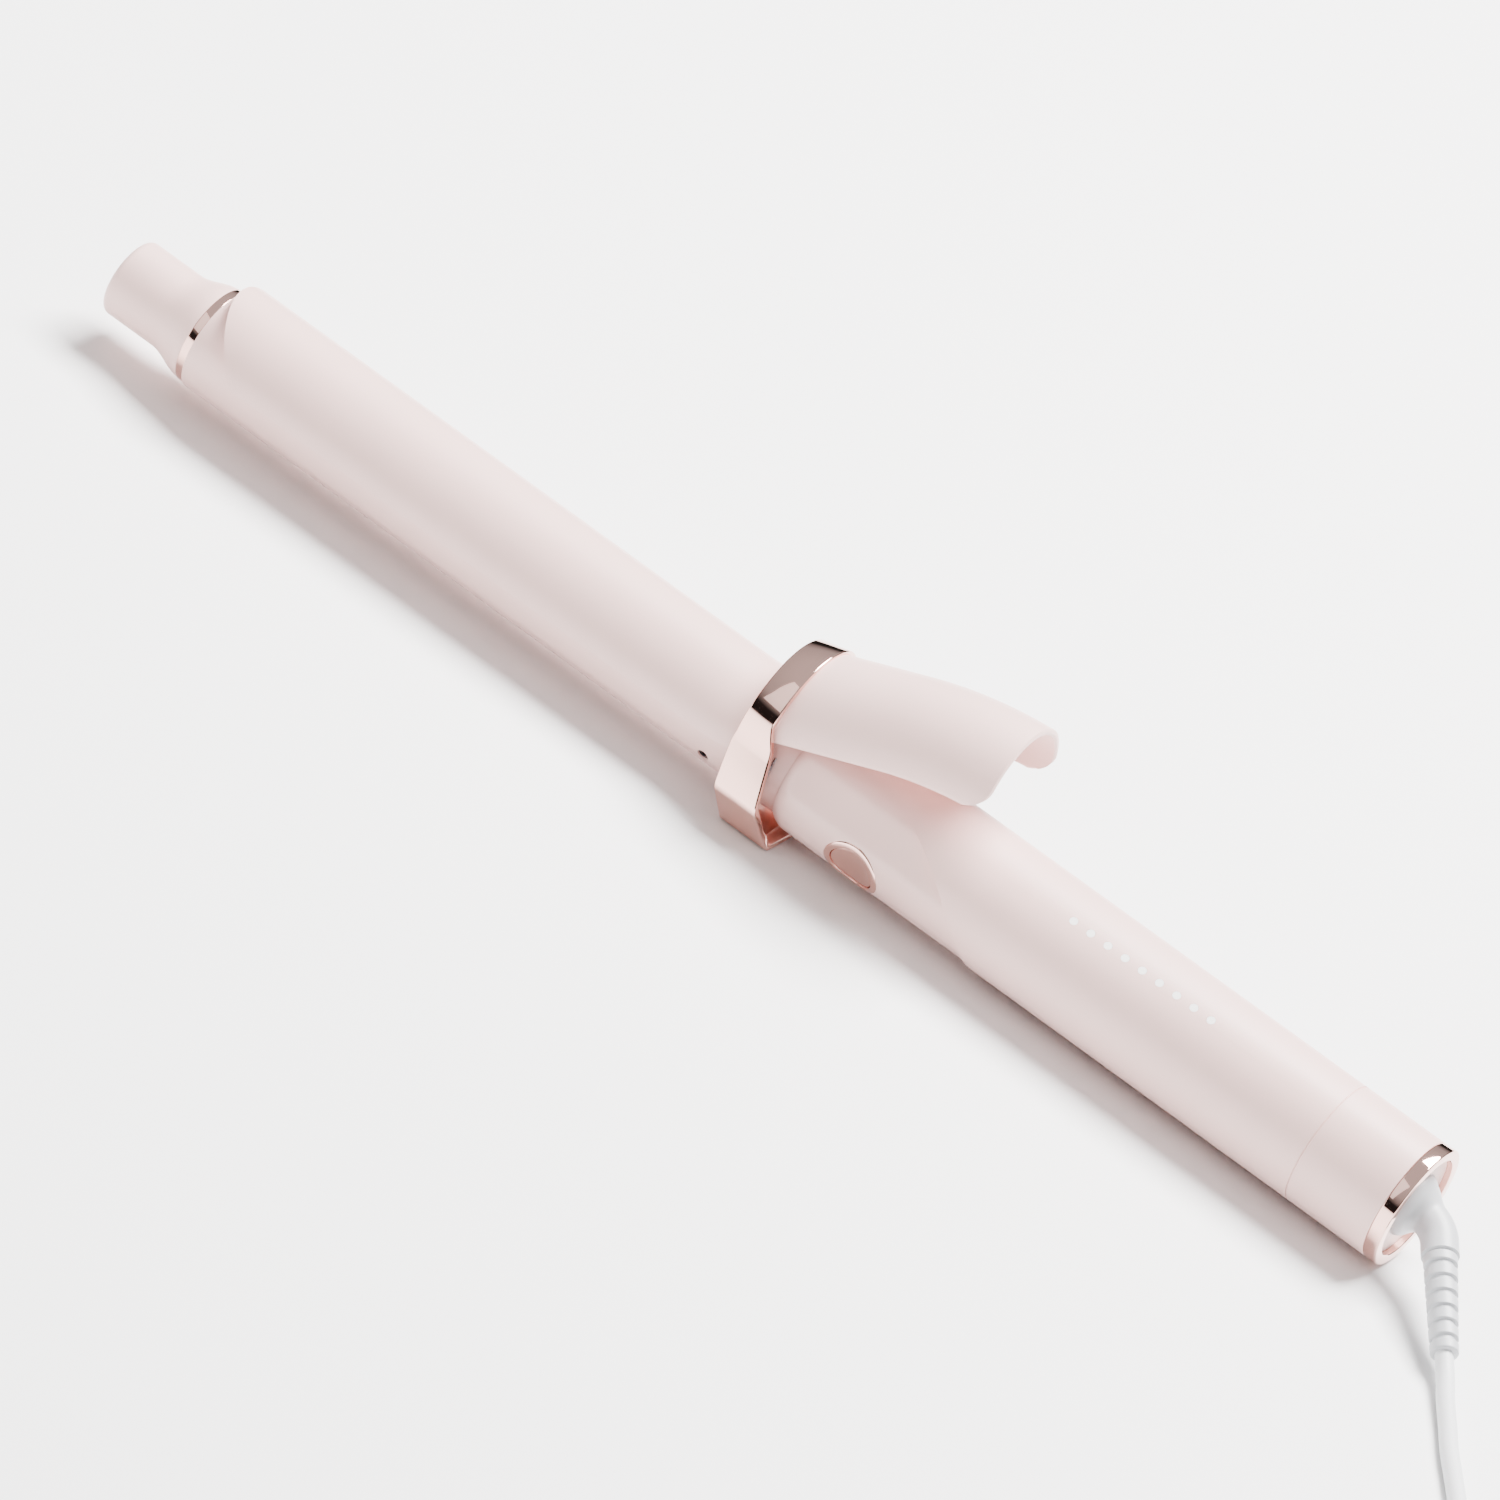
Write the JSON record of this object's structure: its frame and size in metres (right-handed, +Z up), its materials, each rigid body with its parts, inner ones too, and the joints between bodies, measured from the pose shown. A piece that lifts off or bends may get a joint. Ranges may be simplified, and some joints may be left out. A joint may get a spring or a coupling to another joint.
{
  "type": "curling iron",
  "caption": "Hair curling iron: round barrel with cool tip, spring clamp with thumb lever, collar with flat foot, handle with push button, swivel cord and plug.",
  "frame": {"origin": "under the middle of the iron's length, on the surface that the collar's foot stands on, free cord left out", "axes": "+X along the barrel towards the handle's end, +Z up towards the clamp and thumb lever"},
  "size_m": [0.5152, 0.1485, 0.0587],
  "materials": {
    "pink_plastic": "satin",
    "pink_coating": "satin",
    "rose_gold": "polished",
    "steel": "brushed",
    "dark_steel": "blackened",
    "brass": "plain",
    "aluminium": "extruded",
    "ceramic": "matt ceramic",
    "inner_plastic": "matt",
    "circuit_board": "solder mask",
    "black_plastic": "matt",
    "light_guide": "clear white",
    "light_strip": "matt",
    "white_wire": "insulated wire",
    "white_plastic": "smooth",
    "white_rubber": "soft moulded",
    "white_cord": "soft jacket",
    "tie": "coated wire tie"
  },
  "bodies": {
    "housing": {"cool_tip": "pink_plastic", "tip_ring": "rose_gold", "tip_plate": "steel", "tip_screw": "steel", "barrel_tube": "pink_coating", "heater_core": "ceramic", "electrode_plates": "brass", "heater_carriers": "aluminium", "temperature_sensor": "ceramic", "heater_leads": "white_wire", "mica_disc": "ceramic", "barrel_screw": "dark_steel", "pivot_bosses": "steel", "hinge_pins": "steel", "handle_neck": "pink_plastic", "handle_shell": "pink_plastic", "rear_sleeve": "pink_plastic", "end_ring": "rose_gold", "rear_cap": "pink_plastic", "inner_frame": "inner_plastic", "circuit_board": "circuit_board", "board_components": "black_plastic", "board_screws": "steel", "button_bezel": "rose_gold", "tact_switch": "black_plastic", "switch_board": "circuit_board", "light_guide": "light_guide", "light_strip": "light_strip", "contact_block": "black_plastic", "swivel_contacts": "brass", "supply_leads": "white_wire"},
    "clamp": {"clamp_plate": "pink_coating", "clamp_bracket": "pink_plastic", "clamp_springs": "steel", "collar_ring": "rose_gold", "lever_arm": "pink_plastic", "thumb_rest": "pink_plastic"},
    "button": {"power_button": "rose_gold"},
    "swivel": {"swivel_core": "white_plastic", "strain_relief": "white_rubber", "cord_lead": "white_cord", "cord_coil": "white_cord", "cord_tail": "white_cord", "cord_tie": "tie", "plug_body": "white_rubber", "plug_blades": "brass"}
  },
  "joints": [
    {"name": "clamp_hinge", "type": "hinge", "parent": "housing", "child": "clamp", "pos_m": [0.0075, 0, 0.0165], "axis": [0, 1, 0], "range_deg": [0, 18], "stiffness_Nm_per_rad": 0.5, "springref_deg": -17.19},
    {"name": "button_press", "type": "slide", "parent": "housing", "child": "button", "axis": [0, 0.829, 0.5592], "range_m": [0, 0.0008], "stiffness_N_per_m": 2500, "springref_m": -0.0004},
    {"name": "cord_swivel", "type": "hinge", "parent": "housing", "child": "swivel", "pos_m": [0.1835, 0, 0.0165], "axis": [1, 0, 0], "continuous": true}
  ]
}
